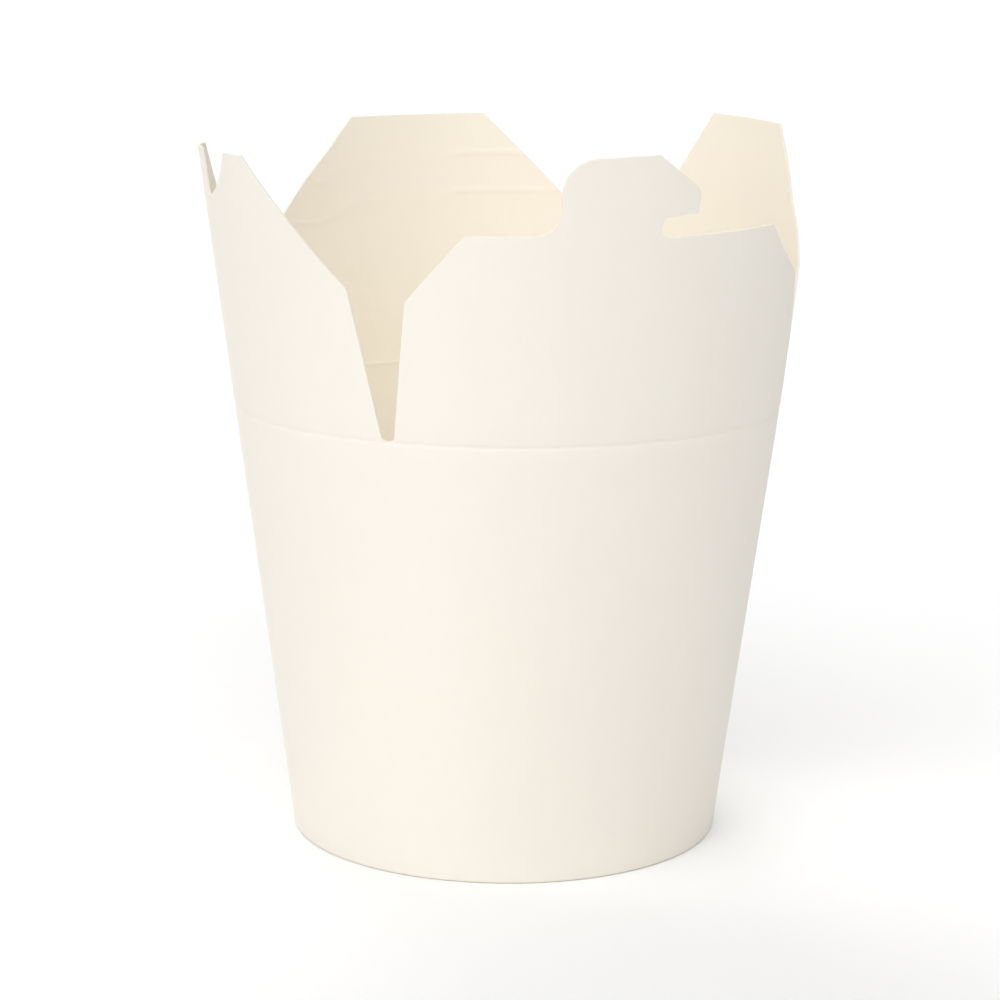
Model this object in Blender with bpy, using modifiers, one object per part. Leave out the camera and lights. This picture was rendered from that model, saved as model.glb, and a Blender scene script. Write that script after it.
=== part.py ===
"""Round paperboard noodle box with a tapered wall, a recessed bottom and four flaps that stand open.

The wall is a die-cut blank: a flat sheet with the flaps' outline as its top edge, wrapped round a
cone and given the board's thickness. Azimuths are in degrees, 0 at the front (-Y) and growing
towards +X. Lengths are in metres, and heights are measured from the table.
"""

import math

import bmesh
import bpy
from mathutils import Vector

BOARD = 0.0005
FOOT_RADIUS = 0.0450
SCORE_RADIUS = 0.0570
SCORE_HEIGHT = 0.0911
TAPER = (SCORE_RADIUS - FOOT_RADIUS) / SCORE_HEIGHT
FLAT_RADIUS = 0.0600
COLUMNS = 96
GAP = 0.0003
WELD = 1e-6
SMOOTH_ANGLE = math.radians(32)

SCORE_HALF_WIDTH = 0.0008
SCORE_FLOOR_HALF_WIDTH = 0.0003
SCORE_DEPTH = 0.0002

HEM_INSET = 2 * (BOARD + GAP)
HEM_TOP = 0.0070
FOLD_RADIUS = 0.0004
FOLD_CENTRE = BOARD / 2 + FOLD_RADIUS
FOLD_STEP = math.radians(45)

BOTTOM_HEIGHT = 0.0081
SKIRT_INSET = BOARD + GAP
SKIRT_FOOT = BOARD + GAP + 0.0001
SKIRT_BEND = 0.0010
SKIRT_BEND_STEPS = 3

LAP_HALF_ANGLE = 5.0
LAP_LIFT = 0.0004
LAP_FOOT = 0.0010
LAP_COLUMNS = 4
LAP_TOP = SCORE_HEIGHT - SCORE_HALF_WIDTH - 0.0001

SLIT_BOTTOM = SCORE_HEIGHT + 0.0002
SLIT_RADIUS = 0.0013
SLIT_HALF_ANGLE = 1.3
SEAM = -135.9
FRONT_LEFT_SLIT = -46.0
FRONT_RIGHT_SLIT = 61.8
BACK_RIGHT_SLIT = 133.9
BACK_LEFT_SLIT = SEAM + 360.0

KNEE_RADIUS = 0.0010
CORNER_RADIUS = 0.0004
SWEEP_RADIUS = 0.0120
ARC_STEP = math.radians(18)

KNEE_HEIGHT = 0.1200
SHOULDER_HEIGHT = 0.1320
TAB_FILLET = 0.0050
TAB_ROUND = 0.0065
TAB_LEFT = -13.3
TAB_RIGHT = 12.6
TAB_TOP = 0.1466
NOTCH_RADIUS = 0.0150
SLOT_FLOOR = 0.1312
SLOT_ROOF = 0.1351
SLOT_END = 5.1
SLOT_RADIUS = 0.0019

# Each flap is read from left to right as seen from outside: azimuth, height and corner radius.
FRONT_FLAP = [
    (-41.2, 0.1189, KNEE_RADIUS),
    (-29.9, SHOULDER_HEIGHT, CORNER_RADIUS),
    (TAB_LEFT, SHOULDER_HEIGHT, TAB_FILLET),
    (TAB_LEFT, TAB_TOP - 0.0003, TAB_ROUND),
    (3.7, TAB_TOP + 0.0004, CORNER_RADIUS),
    (TAB_RIGHT, 0.1402, 0.0020),
    (TAB_RIGHT, 0.1358, CORNER_RADIUS),
    (SLOT_END, SLOT_ROOF, SLOT_RADIUS),
    (SLOT_END, SLOT_FLOOR, SLOT_RADIUS),
    (33.8, SHOULDER_HEIGHT, CORNER_RADIUS),
    (38.9, 0.1270, SWEEP_RADIUS),
    (50.2, KNEE_HEIGHT, KNEE_RADIUS),
]
RIGHT_FLAP = [
    (69.0, KNEE_HEIGHT, KNEE_RADIUS),
    (81.5, 0.1312, SWEEP_RADIUS),
    (92.4, 0.1474, CORNER_RADIUS),
    (112.7, 0.1484, CORNER_RADIUS),
    (128.9, KNEE_HEIGHT, KNEE_RADIUS),
]
BACK_FLAP = [
    (137.9, KNEE_HEIGHT, KNEE_RADIUS),
    (163.1, 0.1468, CORNER_RADIUS),
    (191.5, 0.1463, CORNER_RADIUS),
    (197.3, 0.1396, SWEEP_RADIUS),
    (218.3, KNEE_HEIGHT, KNEE_RADIUS),
]
LEFT_FLAP = [
    (231.8, KNEE_HEIGHT, KNEE_RADIUS),
    (243.4, 0.1440, CORNER_RADIUS),
    (262.8, 0.1447, CORNER_RADIUS),
    (263.4, 0.1350, 0.0010),
    (271.2, 0.1367, NOTCH_RADIUS),
    (276.3, 0.1446, CORNER_RADIUS),
    (283.1, 0.1447, CORNER_RADIUS),
    (307.3, KNEE_HEIGHT + 0.0005, KNEE_RADIUS),
]


def flat_x(azimuth):
    """Place of an azimuth along the flat blank."""
    return math.radians(azimuth) * FLAT_RADIUS


def wall_radius(height):
    """Radius of the middle of the wall's board."""
    return FOOT_RADIUS + TAPER * height - BOARD / 2


def board_path():
    """Rows of the blank from the hem's edge up: place on the blank, inset from the cone, height."""
    arc = [FOLD_STEP * i for i in range(round(math.pi / 2 / FOLD_STEP) + 1)]
    hem_x, flat_in = HEM_INSET, HEM_INSET - FOLD_RADIUS
    points = [(hem_x, HEM_TOP)]
    for a in reversed(arc):
        points.append((flat_in + FOLD_RADIUS * math.sin(a), FOLD_CENTRE - FOLD_RADIUS * math.cos(a)))
    for a in reversed(arc):
        points.append((FOLD_RADIUS * (1 - math.cos(a)), FOLD_CENTRE - FOLD_RADIUS * math.sin(a)))
    rows = []
    along = FOLD_CENTRE
    last = points[-1]
    for inset, height in reversed(points):
        along -= math.dist(last, (inset, height))
        rows.append((along, inset, height))
        last = (inset, height)
    rows.reverse()
    for offset, depth in (
        (-SCORE_HALF_WIDTH, 0.0),
        (-SCORE_FLOOR_HALF_WIDTH, SCORE_DEPTH),
        (SCORE_FLOOR_HALF_WIDTH, SCORE_DEPTH),
        (SCORE_HALF_WIDTH, 0.0),
    ):
        rows.append((SCORE_HEIGHT + offset, depth, SCORE_HEIGHT + offset))
    return rows


def on_path(rows, along):
    """Inset and height of a place on the blank."""
    if along >= rows[-1][0]:
        return 0.0, along
    for (a0, i0, h0), (a1, i1, h1) in zip(rows, rows[1:]):
        if along <= a1:
            t = max(0.0, (along - a0) / (a1 - a0))
            return i0 + t * (i1 - i0), h0 + t * (h1 - h0)
    return 0.0, along


def slit(azimuth):
    """The two corners at the round bottom of a slit."""
    return [
        (azimuth - SLIT_HALF_ANGLE, SLIT_BOTTOM, SLIT_RADIUS),
        (azimuth + SLIT_HALF_ANGLE, SLIT_BOTTOM, SLIT_RADIUS),
    ]


def top_edge():
    """The blank's top edge from the seam round to the seam, with its corners still sharp."""
    corners = [(SEAM, SLIT_BOTTOM, 0.0), slit(SEAM)[1]]
    corners += [(azimuth - 360.0, height, radius) for azimuth, height, radius in LEFT_FLAP]
    corners += slit(FRONT_LEFT_SLIT) + FRONT_FLAP
    corners += slit(FRONT_RIGHT_SLIT) + RIGHT_FLAP
    corners += slit(BACK_RIGHT_SLIT) + BACK_FLAP
    corners += [slit(BACK_LEFT_SLIT)[0], (BACK_LEFT_SLIT, SLIT_BOTTOM, 0.0)]
    return corners


def rounded(corners):
    """Points on the flat blank along the corners, each with its own radius."""
    places = [Vector((flat_x(azimuth), height)) for azimuth, height, _ in corners]
    points = [places[0]]
    for before, here, after, (_, _, radius) in zip(places, places[1:], places[2:], corners[1:]):
        u, v = (before - here).normalized(), (after - here).normalized()
        half = u.angle(v) / 2
        centre = here + (u + v).normalized() * radius / math.sin(half)
        start = here + u * radius / math.tan(half) - centre
        turn = math.copysign(math.pi - 2 * half, v.cross(u))
        steps = max(1, round(abs(turn) / ARC_STEP))
        for i in range(steps + 1):
            c, s = math.cos(turn * i / steps), math.sin(turn * i / steps)
            points.append(centre + Vector((c * start.x - s * start.y, s * start.x + c * start.y)))
    points.append(places[-1])
    return points


def flat_blank(points, columns, rows):
    """A flat face with this outline, cut along the given columns and rows."""
    bm = bmesh.new()
    bm.faces.new([bm.verts.new((p[0], p[1], 0.0)) for p in points])
    cuts = [((x, 0, 0), (1, 0, 0)) for x in columns] + [((0, y, 0), (0, 1, 0)) for y in rows]
    for place, normal in cuts:
        everything = bm.verts[:] + bm.edges[:] + bm.faces[:]
        bmesh.ops.bisect_plane(bm, geom=everything, dist=WELD / 10, plane_co=place, plane_no=normal)
    return bm


def wrap(bm, rows, lift=0.0):
    """Wraps the flat blank round the cone."""
    for vert in bm.verts:
        azimuth = vert.co.x / FLAT_RADIUS
        inset, height = on_path(rows, vert.co.y)
        radius = wall_radius(height) - inset + lift
        vert.co = (radius * math.sin(azimuth), -radius * math.cos(azimuth), height)


def add_object(name, bm, collection, material):
    """Makes an object of the mesh, smooth where it curves."""
    mesh = bpy.data.meshes.new(name)
    bm.to_mesh(mesh)
    bm.free()
    mesh.shade_smooth()
    mesh.set_sharp_from_angle(angle=SMOOTH_ANGLE)
    mesh.materials.append(material)
    obj = bpy.data.objects.new(name, mesh)
    collection.objects.link(obj)
    return obj


def add_board(obj):
    """Gives an open surface the board's thickness, half to each side."""
    solid = obj.modifiers.new("board", "SOLIDIFY")
    solid.thickness = BOARD
    solid.offset = 0.0
    solid.use_even_offset = True


def add_wall(collection, cutters, material):
    """The wall, its flaps and its folded hem, with the glued side lap at the back."""
    rows = board_path()
    outline = [(flat_x(BACK_LEFT_SLIT), rows[0][0]), (flat_x(SEAM), rows[0][0])]
    outline += [tuple(point) for point in rounded(top_edge())]
    columns = [flat_x(SEAM + 360.0 * i / COLUMNS) for i in range(1, COLUMNS)]
    bm = flat_blank(outline, columns, [along for along, _, _ in rows[1:]])
    wrap(bm, rows)
    bmesh.ops.remove_doubles(bm, verts=bm.verts[:], dist=WELD)
    bmesh.ops.recalc_face_normals(bm, faces=bm.faces[:])
    wall = add_object("wall", bm, collection, material)
    add_board(wall)

    left, right = flat_x(SEAM - LAP_HALF_ANGLE), flat_x(SEAM + LAP_HALF_ANGLE)
    corners = [(left, LAP_FOOT), (right, LAP_FOOT), (right, LAP_TOP), (left, LAP_TOP)]
    columns = [left + (right - left) * i / LAP_COLUMNS for i in range(1, LAP_COLUMNS)]
    bm = flat_blank(corners, columns, [])
    wrap(bm, rows, LAP_LIFT)
    lap = add_object("side_lap", bm, cutters, material)
    add_board(lap)
    join = wall.modifiers.new("side_lap", "BOOLEAN")
    join.operation = "UNION"
    join.solver = "EXACT"
    join.object = lap
    return wall


def bottom_profile():
    """Half section of the bottom's board, from the axis out and down the skirt."""
    def skirt_radius(height):
        return wall_radius(height + BOTTOM_HEIGHT) - SKIRT_INSET

    points = [(0.0, 0.0)]
    bend_radius = skirt_radius(-SKIRT_BEND)
    for i in range(SKIRT_BEND_STEPS + 1):
        a = math.pi / 2 * i / SKIRT_BEND_STEPS
        points.append((bend_radius - SKIRT_BEND * (1 - math.sin(a)), -SKIRT_BEND * (1 - math.cos(a))))
    foot = SKIRT_FOOT - BOTTOM_HEIGHT
    points.append((skirt_radius(foot), foot))
    return points


def add_bottom(collection, material):
    """The recessed round bottom, whose skirt hangs between the wall and the hem."""
    bm = bmesh.new()
    verts = [bm.verts.new((x, 0.0, z)) for x, z in bottom_profile()]
    for a, b in zip(verts, verts[1:]):
        bm.edges.new((a, b))
    bottom = add_object("bottom", bm, collection, material)
    bottom.location.z = BOTTOM_HEIGHT
    turn = bottom.modifiers.new("turn", "SCREW")
    turn.axis = "Z"
    turn.steps = turn.render_steps = COLUMNS
    turn.use_merge_vertices = True
    turn.merge_threshold = WELD
    add_board(bottom)
    return bottom


def board_material(name, colour, roughness):
    """Uncoated paperboard."""
    material = bpy.data.materials.new(name)
    material.use_nodes = True
    shader = material.node_tree.nodes["Principled BSDF"]
    shader.inputs["Base Color"].default_value = (*colour, 1.0)
    shader.inputs["Roughness"].default_value = roughness
    shader.inputs["Metallic"].default_value = 0.0
    material.diffuse_color = (*colour, 1.0)
    return material


def add_collection(name):
    """A collection in the scene."""
    collection = bpy.data.collections.new(name)
    bpy.context.scene.collection.children.link(collection)
    return collection


def main():
    for obj in list(bpy.data.objects):
        bpy.data.objects.remove(obj, do_unlink=True)
    parts = add_collection("noodle_takeaway_box")
    cutters = add_collection("cutters")
    wall_board = board_material("white_board", (0.91, 0.89, 0.84), 0.72)
    bottom_board = board_material("cream_board", (0.88, 0.83, 0.74), 0.62)
    frame = bpy.data.objects.new("box_frame", None)
    parts.objects.link(frame)
    for obj in (add_wall(parts, cutters, wall_board), add_bottom(parts, bottom_board)):
        obj.parent = frame
    for obj in cutters.objects:
        obj.hide_render = True
        obj.display_type = "WIRE"


main()
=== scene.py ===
"""The looks of an empty round noodle takeaway box: white paperboard, four flaps standing open.

The box is two pieces of board. The wall is one die-cut blank, drawn flat, thickened, and wrapped
round a cone by a Geometry Nodes tree that follows the board's section from the folded hem at the
foot, up over the score line, to the flaps. The bottom is a round blank that a second tree presses
to its section. Lengths are in metres. Azimuths are in degrees, 0 at the front (-Y) and growing
towards +X.
"""

import logging
import math
from dataclasses import dataclass, field
from enum import Enum

import bmesh
import bpy
from mathutils import Matrix, Vector


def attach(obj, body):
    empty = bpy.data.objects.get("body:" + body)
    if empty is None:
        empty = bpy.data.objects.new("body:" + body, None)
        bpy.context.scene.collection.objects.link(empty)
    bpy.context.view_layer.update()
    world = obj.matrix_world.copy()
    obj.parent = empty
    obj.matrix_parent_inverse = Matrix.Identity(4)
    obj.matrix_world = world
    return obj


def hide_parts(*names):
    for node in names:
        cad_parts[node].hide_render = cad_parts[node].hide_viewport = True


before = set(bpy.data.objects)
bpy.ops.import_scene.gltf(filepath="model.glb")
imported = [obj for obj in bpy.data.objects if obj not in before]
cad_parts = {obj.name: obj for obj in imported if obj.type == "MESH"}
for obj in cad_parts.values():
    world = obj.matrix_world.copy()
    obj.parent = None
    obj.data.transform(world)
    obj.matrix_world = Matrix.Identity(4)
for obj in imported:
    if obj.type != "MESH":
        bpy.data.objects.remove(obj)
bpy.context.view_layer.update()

log = logging.getLogger("noodle_box")

BOARD = 0.0005
CONTACT = 0.00005
WELD = 1e-7
UV_SCALE = 10.0
SEED = 7
NODES_IN_ROW = 12
NODE_WIDTH = 180
NODE_HEIGHT = 220

Socket = bpy.types.NodeSocket
Pair = tuple[float, float]
Triple = tuple[float, float, float]
Ring = list[bmesh.types.BMVert]


class Zone(Enum):
    """Where a face of the board lies."""

    OUTSIDE = 0
    INSIDE = 1
    CUT = 2


class Flap(Enum):
    """The four flaps, each named for the side of the box that it rises from."""

    FRONT = "front"
    RIGHT = "right"
    BACK = "back"
    LEFT = "left"


@dataclass(frozen=True)
class Corner:
    """One corner of the die-cut outline.

    Attributes:
        azimuth: place round the box, in degrees.
        height: place above the table, in metres.
        radius: radius of the rounding, in metres.
    """

    azimuth: float
    height: float
    radius: float = 0.0004


@dataclass(frozen=True)
class Crease:
    """A crease pressed into the board, which stands up as a low ridge on its inner face.

    Attributes:
        path: azimuth in degrees and height in metres of each bend, from left to right.
        faint: azimuths in degrees between which the crease is faint.
        faint_share: its height there, as a share of its full height.
        fade: half the width in degrees over which it goes from faint to full.
    """

    path: tuple[Pair, ...]
    faint: Pair
    faint_share: float = 0.45
    fade: float = 1.7


@dataclass(frozen=True)
class Noise:
    """The grain of a noise texture.

    Attributes:
        scale: how fine it is, in cycles a metre.
        detail: number of finer layers.
        roughness: strength of the finer layers.
    """

    scale: float
    detail: float = 2.0
    roughness: float = 0.5


class Tree:
    """A short way to write a node tree, for geometry and for shading alike."""

    def __init__(self, tree: bpy.types.NodeTree) -> None:
        """Starts on a node tree.

        Args:
            tree: the tree that the nodes are added to.
        """
        self.tree = tree
        self.count = 0

    def node(
        self, kind: str, given: dict[str, object] | None = None, **settings: object
    ) -> bpy.types.Node:
        """Adds a node.

        Args:
            kind: the node's type name.
            given: what its inputs are fed, by their names.
            settings: properties to set on it.

        Returns:
            The new node.
        """
        node = self.tree.nodes.new(kind)
        row, column = divmod(self.count, NODES_IN_ROW)
        node.location = (column * NODE_WIDTH, -row * NODE_HEIGHT)
        self.count += 1
        for name, value in settings.items():
            setattr(node, name, value)
        for name, value in (given or {}).items():
            self.feed(node.inputs[name], value)
        return node

    def feed(self, socket: Socket, value: object) -> None:
        """Gives an input a value, or links it where the value is another socket.

        Args:
            socket: the input.
            value: a number, a vector, a colour or an output socket.
        """
        if isinstance(value, Socket):
            self.tree.links.new(value, socket)
        else:
            socket.default_value = value

    @staticmethod
    def of_type(sockets: object, kind: str) -> list[Socket]:
        """The sockets of one type, in order, where several of them share a name."""
        return [socket for socket in sockets if socket.type == kind]

    def math(self, operation: str, *values: object) -> Socket:
        """Adds a Math node.

        Args:
            operation: the operation's name.
            values: its inputs in order.

        Returns:
            The result.
        """
        node = self.node("ShaderNodeMath", operation=operation)
        for socket, value in zip(node.inputs, values):
            self.feed(socket, value)
        return node.outputs[0]

    def vector(self, operation: str, *values: object) -> Socket:
        """Adds a Vector Math node.

        Args:
            operation: the operation's name.
            values: its inputs in order.

        Returns:
            The resulting vector.
        """
        node = self.node("ShaderNodeVectorMath", operation=operation)
        for socket, value in zip(node.inputs, values):
            self.feed(socket, value)
        return node.outputs["Vector"]

    def scaled(self, vector: object, factor: object) -> Socket:
        """Scales a vector by a number."""
        given = {"Vector": vector, "Scale": factor}
        return self.node("ShaderNodeVectorMath", given, operation="SCALE").outputs["Vector"]

    def combine(self, x: object, y: object, z: object) -> Socket:
        """Joins three numbers into a vector."""
        return self.node("ShaderNodeCombineXYZ", {"X": x, "Y": y, "Z": z}).outputs[0]

    def split(self, vector: object) -> tuple[Socket, ...]:
        """Splits a vector into its three numbers."""
        return tuple(self.node("ShaderNodeSeparateXYZ", {"Vector": vector}).outputs)

    def ramp(
        self, value: object, start: object, end: object, low: object = 0.0, high: object = 1.0
    ) -> Socket:
        """Goes smoothly from low to high as a value goes from start to end.

        Args:
            value: the value that is followed.
            start: where the ramp starts.
            end: where it ends.
            low: the result at the start.
            high: the result at the end.

        Returns:
            The result.
        """
        names = ("Value", "From Min", "From Max", "To Min", "To Max")
        given = dict(zip(names, (value, start, end, low, high)))
        return self.node("ShaderNodeMapRange", given, interpolation_type="SMOOTHSTEP").outputs[0]

    def noise(self, place: object, grain: Noise, **inputs: object) -> Socket:
        """Adds a noise texture.

        Args:
            place: the coordinates.
            grain: how fine and how rough it is.
            inputs: inputs that other sockets feed. With W it varies in a fourth direction.

        Returns:
            The noise, from 0 to 1.
        """
        given = {
            "Vector": place,
            "Scale": grain.scale,
            "Detail": grain.detail,
            "Roughness": grain.roughness,
            **inputs,
        }
        dimensions = "4D" if "W" in inputs else "3D"
        return self.node("ShaderNodeTexNoise", given, noise_dimensions=dimensions).outputs[0]

    def blend(self, factor: Socket, low: Triple, high: Triple) -> Socket:
        """Blends two colours.

        Args:
            factor: share of the second colour.
            low: the first colour.
            high: the second colour.

        Returns:
            The blended colour.
        """
        node = self.node("ShaderNodeMix", {"Factor": factor}, data_type="RGBA")
        for socket, colour in zip(self.of_type(node.inputs, "RGBA"), (low, high)):
            self.feed(socket, (*colour, 1.0))
        return self.of_type(node.outputs, "RGBA")[0]


class ShaderTree(Tree):
    """The shading of a new material, with its Object coordinates at hand."""

    def __init__(self, name: str) -> None:
        """Makes the material.

        Args:
            name: name of the material.
        """
        self.material = bpy.data.materials.new(name)
        self.material.use_nodes = True
        super().__init__(self.material.node_tree)
        self.place = self.node("ShaderNodeTexCoord").outputs["Object"]

    def dress(self, given: dict[str, object]) -> bpy.types.Material:
        """Feeds the shader.

        Args:
            given: what its inputs are fed, by their names.

        Returns:
            The finished material.
        """
        shader = self.tree.nodes["Principled BSDF"]
        for name, value in given.items():
            self.feed(shader.inputs[name], value)
        return self.material


@dataclass(frozen=True)
class BoardFinish:
    """Matte paperboard: colour, the faint streaks of its fibres, and a fine tooth.

    Attributes:
        name: name of the material.
        colour: the board's colour.
        shade: the colour in its slightly darker clouds.
        roughness: mean roughness.
        roughness_swing: how far the roughness varies over the surface.
        specular: specular level.
        sheen: weight of the soft sheen of the fibres.
        sheen_roughness: how widely the sheen spreads.
        tooth: height of the fine tooth, in metres.
        streak: height of the long fibre streaks, in metres.
        stretch: how much longer the clouds and streaks are than wide.
        cloud_grain: grain of the clouds.
        streak_grain: grain of the streaks.
        tooth_grain: grain of the tooth.
        streak_share: share of the streaks in the colour's unevenness.
        mottle_range: values of the unevenness that give the darker and the lighter colour.
        tooth_range: values of the tooth that give the lowest and the highest roughness.
    """

    name: str
    colour: Triple
    shade: Triple
    roughness: float
    roughness_swing: float = 0.06
    specular: float = 0.35
    sheen: float = 0.05
    sheen_roughness: float = 0.5
    tooth: float = 0.00002
    streak: float = 0.00001
    stretch: float = 3.0
    cloud_grain: Noise = Noise(42.0, 3.0, 0.55)
    streak_grain: Noise = Noise(420.0, 3.0, 0.6)
    tooth_grain: Noise = Noise(2600.0, 2.0, 0.6)
    streak_share: float = 0.35
    mottle_range: Pair = (0.36, 0.64)
    tooth_range: Pair = (0.3, 0.7)

    def material(self) -> bpy.types.Material:
        """Makes the material.

        Returns:
            The material, whose patterns read Object coordinates.
        """
        tree = ShaderTree(self.name)
        drawn_out = {"Vector": tree.place, "Scale": (1.0, 1.0, 1.0 / self.stretch)}
        upright = tree.node("ShaderNodeMapping", drawn_out).outputs[0]
        clouds = tree.noise(upright, self.cloud_grain)
        streaks = tree.noise(upright, self.streak_grain)
        tooth = tree.noise(tree.place, self.tooth_grain)

        cloud_part = tree.math("MULTIPLY", clouds, 1.0 - self.streak_share)
        mottle = tree.math("MULTIPLY_ADD", streaks, self.streak_share, cloud_part)
        shading = tree.ramp(mottle, *self.mottle_range)
        low, high = self.roughness - self.roughness_swing, self.roughness + self.roughness_swing
        long_relief = tree.math("MULTIPLY", streaks, self.streak)
        relief = tree.math("MULTIPLY_ADD", tooth, self.tooth, long_relief)
        bump = tree.node("ShaderNodeBump", {"Height": relief, "Distance": 1.0})
        tree.material.diffuse_color = (*self.colour, 1.0)
        return tree.dress(
            {
                "Base Color": tree.blend(shading, self.shade, self.colour),
                "Roughness": tree.ramp(tooth, *self.tooth_range, low, high),
                "Specular IOR Level": self.specular,
                "Sheen Weight": self.sheen,
                "Sheen Roughness": self.sheen_roughness,
                "Normal": bump.outputs[0],
            }
        )


@dataclass(frozen=True)
class FloorFinish:
    """The plain pale floor under the box: matte, with a very faint unevenness.

    Attributes:
        name: name of the material.
        colour: the floor's colour.
        shade: the same colour where it is faintly darker.
        roughness: how matte it is.
        specular: specular level.
        grain: grain of its unevenness.
    """

    name: str = "pale_floor"
    colour: Triple = (0.95, 0.95, 0.95)
    shade: Triple = (0.9405, 0.9405, 0.9405)
    roughness: float = 0.9
    specular: float = 0.1
    grain: Noise = Noise(3.0)

    def material(self) -> bpy.types.Material:
        """Makes the material.

        Returns:
            The material, whose pattern reads Object coordinates.
        """
        tree = ShaderTree(self.name)
        clouds = tree.noise(tree.place, self.grain)
        return tree.dress(
            {
                "Base Color": tree.blend(clouds, self.colour, self.shade),
                "Roughness": self.roughness,
                "Specular IOR Level": self.specular,
            }
        )


@dataclass(frozen=True)
class Cone:
    """The cone that the wall lies on, and the flat blank that wraps round it.

    Attributes:
        foot_radius: outer radius at the table.
        score_radius: outer radius at the score line.
        score_height: height of the score line.
        flat_radius: radius at which the flat blank's widths are true.
    """

    foot_radius: float = 0.0450
    score_radius: float = 0.0570
    score_height: float = 0.0911
    flat_radius: float = 0.0600

    @property
    def taper(self) -> float:
        """Growth of the radius for each unit of height."""
        return (self.score_radius - self.foot_radius) / self.score_height

    @property
    def slant(self) -> float:
        """Length along the wall for each unit of height."""
        return math.hypot(1.0, self.taper)

    def radius(self, height: float) -> float:
        """Radius of the middle of the wall's board at a height."""
        return self.foot_radius + self.taper * height - BOARD / 2

    def flat_x(self, azimuth: float) -> float:
        """Place of an azimuth along the flat blank."""
        return math.radians(azimuth) * self.flat_radius


def add_object(name: str, data: bpy.types.ID) -> bpy.types.Object:
    """Adds an object to the scene.

    Args:
        name: name of the object.
        data: its mesh, curve, lamp or camera.

    Returns:
        The object.
    """
    obj = bpy.data.objects.new(name, data)
    bpy.context.scene.collection.objects.link(obj)
    return obj


def mesh_object(name: str, bm: bmesh.types.BMesh) -> bpy.types.Object:
    """Makes a mesh an object of the scene.

    Args:
        name: name of the object.
        bm: its mesh, which is freed.

    Returns:
        The object.
    """
    mesh = bpy.data.meshes.new(name)
    bm.to_mesh(mesh)
    bm.free()
    return add_object(name, mesh)


def slab_object(name: str, bm: bmesh.types.BMesh) -> bpy.types.Object:
    """Makes a flat slab an object, whose UV map holds each point's place on the blank.

    Args:
        name: name of the object.
        bm: its mesh, which is freed.

    Returns:
        The object.
    """
    uv = bm.loops.layers.uv.new("board")
    for face in bm.faces:
        for loop in face.loops:
            loop[uv].uv = (loop.vert.co.x * UV_SCALE, loop.vert.co.y * UV_SCALE)
    return mesh_object(name, bm)


def poly_curve(name: str, points: list[Triple]) -> bpy.types.Object:
    """Draws a curve through points, for a Geometry Nodes tree to follow.

    Args:
        name: name of the curve.
        points: the points, in order.

    Returns:
        The curve's object, which the caller removes.
    """
    data = bpy.data.curves.new(name, "CURVE")
    data.dimensions = "3D"
    spline = data.splines.new("POLY")
    spline.points.add(len(points) - 1)
    for point, place in zip(spline.points, points):
        point.co = (*place, 1.0)
    return add_object(name, data)


@dataclass(frozen=True)
class Section:
    """The section of a board, as points from its lower edge to its upper edge.

    Attributes:
        points: radius and height of each point, of the middle of the board.
        start: place on the flat blank of the first point.
    """

    points: tuple[Pair, ...]
    start: float = 0.0

    def places(self) -> list[float]:
        """Place on the flat blank of each point.

        Returns:
            The places, in order.
        """
        places = [self.start]
        for before, here in zip(self.points, self.points[1:]):
            places.append(places[-1] + math.dist(before, here))
        return places

    def curve(self, name: str) -> bpy.types.Object:
        """Makes the section a curve in the XZ plane, which the caller removes."""
        return poly_curve(name, [(radius, 0.0, height) for radius, height in self.points])


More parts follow.
